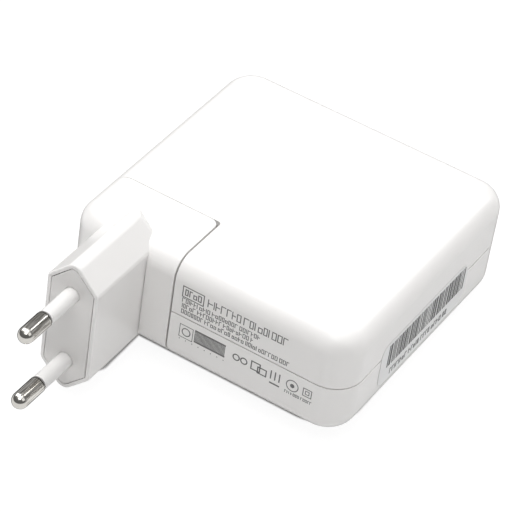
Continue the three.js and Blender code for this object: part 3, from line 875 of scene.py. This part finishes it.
def locking_stud():
    near, far = STUD_LOW.x - NOTCH_X, STUD_HIGH.x - NOTCH_X
    neck_start = near + 2.0
    flange = far - 1.5
    profile = [
        (0, near + 0.35),
        (1.1, near + 0.35),
        (1.45, near),
        (STUD_HEAD - 0.5, near),
        (STUD_HEAD, near + 0.5),
        (STUD_HEAD, neck_start - 0.15),
        (STUD_HEAD - 0.15, neck_start),
        (STUD_NECK, neck_start),
        (STUD_NECK, flange),
        (5.0, flange),
        (5.0, far),
        (0, far),
    ]
    return moved(rotated(turned(profile), -90, "Z"), NOTCH_X, STUD_Y, MID_Z)


def socket_shell():
    depth = PORT_HIGH.y - PORT_LOW.y
    metal = prism(stadium(PORT_WIDTH, PORT_HEIGHT), 0, depth)
    inner = stadium(PORT_WIDTH - 2 * PORT_METAL, PORT_HEIGHT - 2 * PORT_METAL)
    hollow = prism(inner, -1, BEYOND)
    return along_y(combined("DIFFERENCE", metal, hollow), PORT_HIGH.y, PORT_X, MID_Z)


def socket_tongue():
    """The tongue, whose front edge is rounded, on its base block."""
    depth = TONGUE_HIGH.y - TONGUE_LOW.y
    base_depth, base_gap = 1.6, 1.0
    outline = stadium(PORT_WIDTH - base_gap, PORT_HEIGHT - base_gap)
    base = prism(outline, depth - base_depth, depth)
    tongue = prism(rectangle(6.7, 0.7, 0.1), 0, depth - 0.5)
    round_edges(tongue, rim(tongue, 0), 0.2, 3)
    return along_y(combined("UNION", base, tongue), TONGUE_HIGH.y, PORT_X, MID_Z)


def socket_pads():
    """Twelve contact strips on each side of the tongue."""
    pitch, width, length, raised = 0.5, 0.27, 3.2, 0.03
    pads = bmesh.new()
    for side in (-1, 1):
        for i in range(12):
            x = PORT_X + (i - 5.5) * pitch
            z = MID_Z + side * 0.35
            pad = bmesh.ops.create_cube(pads, size=1.0)["verts"]
            bmesh.ops.scale(pads, vec=(width, length, 2 * raised), verts=pad)
            bmesh.ops.translate(pads, vec=(x, TONGUE_HIGH.y - 2.2, z), verts=pad)
    return pads


# ---------------------------------------------------------------- label and print

INK = 0.015  # thickness of a printed layer
rng = random.Random(7)


class Print:
    """Flat marks on a plan, from which one thin printed piece is made."""

    def __init__(self):
        self.bm = bmesh.new()

    def bar(self, left, low, right, high):
        verts = bmesh.ops.create_cube(self.bm, size=1.0)["verts"]
        size = (right - left, high - low, INK)
        bmesh.ops.scale(self.bm, vec=size, verts=verts)
        middle = ((left + right) / 2, (low + high) / 2, INK / 2)
        bmesh.ops.translate(self.bm, vec=middle, verts=verts)

    def frame(self, left, low, right, high, line):
        self.bar(left, low, right, low + line)
        self.bar(left, high - line, right, high)
        self.bar(left, low + line, left + line, high - line)
        self.bar(right - line, low + line, right, high - line)

    def ring(self, x, y, radius, line):
        steps = 40
        outer = bmesh.ops.create_circle(self.bm, radius=radius, segments=steps)["verts"]
        inner = bmesh.ops.create_circle(self.bm, radius=radius - line, segments=steps)["verts"]
        edges = {e for v in outer + inner for e in v.link_edges}
        faces = bmesh.ops.bridge_loops(self.bm, edges=list(edges))["faces"]
        thick = bmesh.ops.extrude_face_region(self.bm, geom=faces)["geom"]
        tops = [part for part in thick if isinstance(part, bmesh.types.BMVert)]
        bmesh.ops.translate(self.bm, vec=(0, 0, INK), verts=tops)
        everything = list(set(outer + inner + tops))
        bmesh.ops.translate(self.bm, vec=(x, y, 0), verts=everything)

    def dot(self, x, y, radius, steps=20):
        made = bmesh.ops.create_cone(
            self.bm,
            cap_ends=True,
            segments=steps,
            radius1=radius,
            radius2=radius,
            depth=INK,
        )["verts"]
        bmesh.ops.translate(self.bm, vec=(x, y, INK / 2), verts=made)

    def sign(self, left, low, width, height, line):
        """One unreadable mark: an upright, a box, a half box or a crossed upright."""
        right, high = left + width, low + height
        kind = rng.choice(("upright", "box", "box", "half", "low box", "crossed"))
        if kind == "upright":
            self.bar(left, low, left + line, high)
        elif kind == "box":
            self.frame(left, low, right, high, line)
        elif kind == "low box":
            self.frame(left, low, right, low + 0.7 * height, line)
        elif kind == "half":
            self.bar(left, low, left + line, high)
            self.bar(left + line, high - line, right, high)
        else:
            self.bar(left, low, left + line, high)
            self.bar(left + line, low + 0.45 * height, right, low + 0.45 * height + line)
        return line if kind == "upright" else width

    def words(self, left, right, low, high, line):
        """A row of unreadable marks in uneven groups, which looks like small print."""
        height = high - low
        x = left
        while x < right:
            for _ in range(rng.randint(3, 8)):
                width = height * rng.uniform(0.45, 0.62)
                if x + width > right:
                    return
                x += self.sign(x, low, width, height, line) + 0.9 * line
            x += 1.6 * line

    def finished(self):
        bmesh.ops.recalc_face_normals(self.bm, faces=self.bm.faces)
        return self.bm


FRONT_ROWS = [  # left, right, low, high and line width of each row of small print
    (-5.2, -0.6, 20.3, 22.1, 0.26),
    (0.7, 22.4, 20.2, 22.4, 0.25),
    (-5.7, 15.1, 18.2, 19.45, 0.19),
    (-5.6, 13.4, 16.6, 17.85, 0.19),
    (-5.6, 23.3, 15.0, 16.25, 0.19),
]


def upper_front_print():
    """A boxed row, a title row and three rows of small print."""
    marks = Print()
    marks.frame(-5.9, 19.6, -0.2, 22.8, 0.24)
    for row in FRONT_ROWS:
        marks.words(*row)
    return along_y(marks.finished(), -HALF)


def lower_front_print():
    """A framed panel of bars with dots below it, plain signs beside it and a row of print."""
    marks = Print()
    marks.frame(-5.4, 8.3, -1.8, 12.0, 0.16)
    marks.ring(-3.6, 10.15, 1.15, 0.25)
    marks.bar(-1.4, 8.6, 6.7, 9.0)
    for i in range(27):
        x = -1.4 + 0.3 * i
        marks.bar(x, 9.0, x + 0.2, 11.8)
    marks.bar(-1.4, 11.8, 6.7, 12.2)
    for i in range(8):
        marks.dot(-5.1 + 1.66 * i, 7.75, 0.13, 12)
    for x in (9.6, 11.6):
        marks.ring(x, 10.4, 0.95, 0.3)
    marks.frame(13.4, 9.3, 15.9, 11.8, 0.3)
    marks.frame(15.1, 9.0, 17.6, 11.0, 0.3)
    for x in (18.5, 19.6, 20.7):
        marks.bar(x, 9.4, x + 0.3, 11.8)
    marks.bar(18.5, 8.1, 21.1, 8.5)
    marks.ring(24.2, 10.4, 1.6, 0.22)
    marks.dot(24.2, 10.4, 0.55)
    marks.frame(26.9, 9.3, 29.2, 11.6, 0.2)
    marks.frame(27.5, 9.9, 28.6, 11.0, 0.18)
    marks.words(22.5, 29.9, 7.7, 8.5, 0.14)
    return along_y(marks.finished(), -HALF)


def label_sheet():
    size = LABEL_HIGH - LABEL_LOW
    middle = (LABEL_HIGH + LABEL_LOW) / 2
    sheet = prism(rectangle(size.y, size.z, LABEL_RADIUS), 0, size.x)
    return along_x(sheet, LABEL_LOW.x, middle.y, middle.z)


def label_print():
    """Uneven upright bars and a line of small print below them."""
    marks = Print()
    y, end = -17.7, 17.2
    low, high = 9.7, 16.2
    while y < end:
        width = rng.choice((0.36, 0.5, 0.5, 0.85))
        marks.bar(y, low, y + width, high)
        y += width + rng.choice((0.26, 0.26, 0.48))
    marks.words(-15.6, 11.0, 6.5, 8.1, 0.32)
    return along_x(marks.finished(), LABEL_HIGH.x)


# ---------------------------------------------------------------- building it


def build_brick():
    slot = "housing_plastic"
    white = FINISHES[slot]
    piece("lower_housing", lower_housing(), white, "brick", 0.1, ["lower_shell"])
    piece("upper_housing", upper_housing(), white, "brick", 0.1, ["upper_shell"])
    satin = FINISHES["inner_plastic"]
    piece("inlet_insert", inlet_insert(), satin, "brick", 0.15, ["inlet_block"])
    for pole in ("live", "neutral"):
        node = f"inlet_pin_{pole}"
        metal = FINISHES["pin_metal"]
        piece(f"inlet_prong_{pole}", inlet_prong(node), metal, "brick", 0, [node])
    steel = FINISHES["stud_metal"]
    piece("locking_stud", locking_stud(), steel, "brick", 0, ["latch_stud"])
    port = FINISHES["port_metal"]
    piece("socket_shell", socket_shell(), port, "brick", 0.06, ["usb_c_shell"])
    black = FINISHES["black_epoxy"]
    piece("socket_tongue", socket_tongue(), black, "brick", 0.03, ["usb_c_tongue"])
    piece("socket_pads", socket_pads(), FINISHES["contact_metal"], "brick", 0)
    film = FINISHES["label_film"]
    piece("label_sheet", label_sheet(), film, "brick", 0.04, ["rating_label"])
    piece("label_marks", label_print(), LABEL_INK, "brick", 0)
    piece("front_marks_upper", upper_front_print(), FRONT_INK, "brick", 0)
    piece("front_marks_lower", lower_front_print(), FRONT_INK, "brick", 0)


def build_head():
    slot = "housing_plastic"
    white = FINISHES[slot]
    piece("head_housing", head_housing(), white, "plug_head", 0.1, ["head_shell"])
    # the end plate takes the darker white, which is partly painted shade
    piece("head_plate", end_plate(), PAINTED_SHADE_PLATE_WHITE, "plug_head", 0.08, ["head_end_cap"])
    slot = "inner_plastic"
    satin = FINISHES[slot]
    piece("back_plate", back_plate(), satin, "plug_head", 0.12, ["head_rear_cover"])
    for end, z in PIN_Z.items():
        pin, sleeve = f"plug_pin_{end}", f"pin_sleeve_{end}"
        metal, plastic = FINISHES["pin_metal"], FINISHES["sleeve_plastic"]
        piece(f"pin_{end}", plug_pin(z), metal, "plug_head", 0, [pin])
        piece(f"sleeve_{end}", pin_sleeve(z), plastic, "plug_head", 0, [sleeve])


def finish_inner_nodes():
    """The solids that stay as they are get the finish of their slot."""
    for part in frame["record"]["subparts"]:
        node = frame["nodes"][part["node"]]
        for slot in node.material_slots:
            slot.material = FINISHES[part["material_slot"]]


# ---------------------------------------------------------------- floor, light and camera

RIDGE_END_Y = -33.1  # the ridge under the head touches the floor here
BACK_EDGE_Y = 32.2  # and the brick's back edge here
RIDGE_LOW = box_mm("head_shell")[0].z

FLOOR_SIZE = 9000.0
FLOOR_DROP = 0.1  # below the points that it carries, with the veil halfway
VEIL = 0.84  # how far the floor is washed out, as seen by the camera
VEIL_GLOW = 1.1
VEIL_FADE = 0.4  # half the width of the clear part's soft edge
# Right under the adapter the veil is clear, well inside the outline, and contact shadows show.
BRICK_CONTACT = Vector((2.9 - HALF, 6.05 - HALF)), Vector((HALF - 2.9, HALF - 2.9))
PLUG_CONTACT = Vector((PLUG_X - 3.75, PLUG_FACE_Y + 9.5)), Vector((PLUG_X + 3.75, 12.0 - HALF))
BRICK_CONTACT_RADIUS = 11.0
PLUG_CONTACT_RADIUS = 3.0


def floor_sheet(name, finish, drop):
    """A sheet under the tilted adapter, which stands on its ridge and its back edge."""
    slope = math.atan2(-RIDGE_LOW, BACK_EDGE_Y - RIDGE_END_Y)
    bm = bmesh.new()
    bmesh.ops.create_grid(bm, x_segments=1, y_segments=1, size=FLOOR_SIZE)
    moved(rotated(bm, math.degrees(slope), "X"), 0, BACK_EDGE_Y, -drop)
    bmesh.ops.scale(bm, vec=(MM, MM, MM), verts=bm.verts)
    mesh = bpy.data.meshes.new(name)
    bm.to_mesh(mesh)
    bm.free()
    mesh.materials.append(finish)
    sheet = bpy.data.objects.new(name, mesh)
    bpy.context.scene.collection.objects.link(sheet)
    return sheet


def white_veil():
    """A thin white glow: a little of the floor shows through it, and all right under the adapter."""
    made = bpy.data.materials.new("white_veil")
    made.use_nodes = True
    nodes = Nodes(made.node_tree)
    x = nodes.add("SeparateXYZ", {}, {0: nodes.place()}, "X")
    y = x.output("Y")

    def inside(low, high, radius):
        """1 well inside a rectangle with round corners, 0 outside it."""
        middle, half = (low + high) / 2, (high - low) / 2 - Vector((radius, radius))
        past_x = x.maths("MAXIMUM", abs(x - middle.x) - half.x, 0.0)
        past_y = x.maths("MAXIMUM", abs(y - middle.y) - half.y, 0.0)
        return (radius - (past_x**2 + past_y**2) ** 0.5).ramp(-VEIL_FADE, VEIL_FADE)

    under_brick = inside(*BRICK_CONTACT, BRICK_CONTACT_RADIUS)
    under_plug = inside(*PLUG_CONTACT, PLUG_CONTACT_RADIUS)
    glow = nodes.add("Emission", {}, {"Color": grey(1.0), "Strength": VEIL_GLOW})
    clear = nodes.add("BsdfTransparent", {}, {"Color": grey(1.0)})
    factor = VEIL * (1 - under_brick.maths("MAXIMUM", under_brick, under_plug))
    veil = nodes.add("MixShader", {}, {0: factor, 1: clear, 2: glow})
    nodes.add("OutputMaterial", {}, {"Surface": veil})
    return made


def build_floor():
    """A pale floor, and over it a veil, seen by the camera alone, that washes its shadows out."""
    finish = material("pale_floor", mottled(grey(0.8), grey(0.79), 0.7, 0.02, 0))
    floor_sheet("floor", finish, FLOOR_DROP).visible_glossy = False
    veil = floor_sheet("veil", white_veil(), FLOOR_DROP / 2)
    veil.visible_diffuse = False
    veil.visible_glossy = False
    veil.visible_transmission = False
    veil.visible_shadow = False


WALL_LEVEL = 0.15
CEILING_LEVEL = 2.75  # gathered overhead by its power
CEILING_POWER = 10.0
BACK_LEVEL = 0.68
LOW_LEVEL = 0.95  # only reflections see what lies below the floor
DARK_CARD = (-0.5, 0.66, -0.56)  # way to a dark card that draws the outlines
LAMPS = {  # place, width and length in metres, power in watts
    "lamp_left": ((-0.7, 0.1, 0.6), 0.5, 0.5, 1.45),
    "lamp_high_left": ((-0.45, 0.0, 0.85), 0.4, 0.4, 2.7),
    "lamp_right": ((0.7, -0.1, 0.6), 0.5, 0.5, 0.72),
    "lamp_high_front": ((0.1, -0.45, 0.85), 0.4, 0.4, 1.5),
    "strip": ((0.337, 0.693, 0.631), 0.08, 0.5, 0.7),  # draws the bright line on the pins
}


def build_light():
    """A soft studio: a bright ceiling and back wall, dim walls elsewhere, and soft lamps."""
    world = bpy.data.worlds.new("studio")
    bpy.context.scene.world = world
    world.use_nodes = True
    nodes = Nodes(world.node_tree)
    way = nodes.add("TexCoord", {}, {}, "Generated")
    parts = nodes.add("SeparateXYZ", {}, {0: way}, "Z")
    up = parts.maths("MAXIMUM", parts, 0.0)
    behind = parts.maths("MAXIMUM", parts.output("Y"), 0.0)
    above = parts.ramp(-0.12, 0.02)
    card = nodes.add("VectorMath", {"operation": "DOT_PRODUCT"}, {0: way, 1: DARK_CARD}, "Value")
    ceiling = CEILING_LEVEL * up**CEILING_POWER
    wall = WALL_LEVEL + BACK_LEVEL * behind * (1 - up)
    below = LOW_LEVEL * (1 - card.ramp(0.7, 0.9))
    level = ceiling + above * wall + (1 - above) * below
    sky = nodes.add("Background", {}, {"Color": grey(1.0), "Strength": level})
    nodes.add("OutputWorld", {}, {"Surface": sky})
    for name, (place, width, length, power) in LAMPS.items():
        lamp = bpy.data.lights.new(name, "AREA")
        lamp.shape = "RECTANGLE"
        lamp.size, lamp.size_y = width, length
        lamp.energy = power
        holder = bpy.data.objects.new(name, lamp)
        holder.location = place
        holder.rotation_euler = (-holder.location).to_track_quat("-Z", "Y").to_euler()
        bpy.context.scene.collection.objects.link(holder)


AIM = Vector((-5.10, -5.23, 11.03))  # millimetres, as the distance
DISTANCE = 670.75
AZIMUTH = 26.137  # degrees, as the next two
ELEVATION = 39.483
ROLL = 9.074
LENS = 205.52  # millimetres on a sensor 36 wide


def build_camera():
    turn, rise = math.radians(AZIMUTH), math.radians(ELEVATION)
    back = Vector(
        (math.sin(turn) * math.cos(rise), -math.cos(turn) * math.cos(rise), math.sin(rise))
    )
    data = bpy.data.cameras.new("camera")
    data.lens = LENS
    data.sensor_width = 36.0
    data.clip_start = 0.01
    data.clip_end = 20.0
    camera = bpy.data.objects.new("camera", data)
    camera.location = (AIM + back * DISTANCE) * MM
    level = (-back).to_track_quat("-Z", "Y").to_matrix()
    camera.rotation_euler = (level @ Matrix.Rotation(math.radians(ROLL), 3, "Z")).to_euler()
    bpy.context.scene.collection.objects.link(camera)
    bpy.context.scene.camera = camera


build_camera()
build_light()
build_floor()
build_brick()
build_head()
finish_inner_nodes()
bpy.context.scene.view_settings.view_transform = "Standard"

bpy.context.view_layer.update()
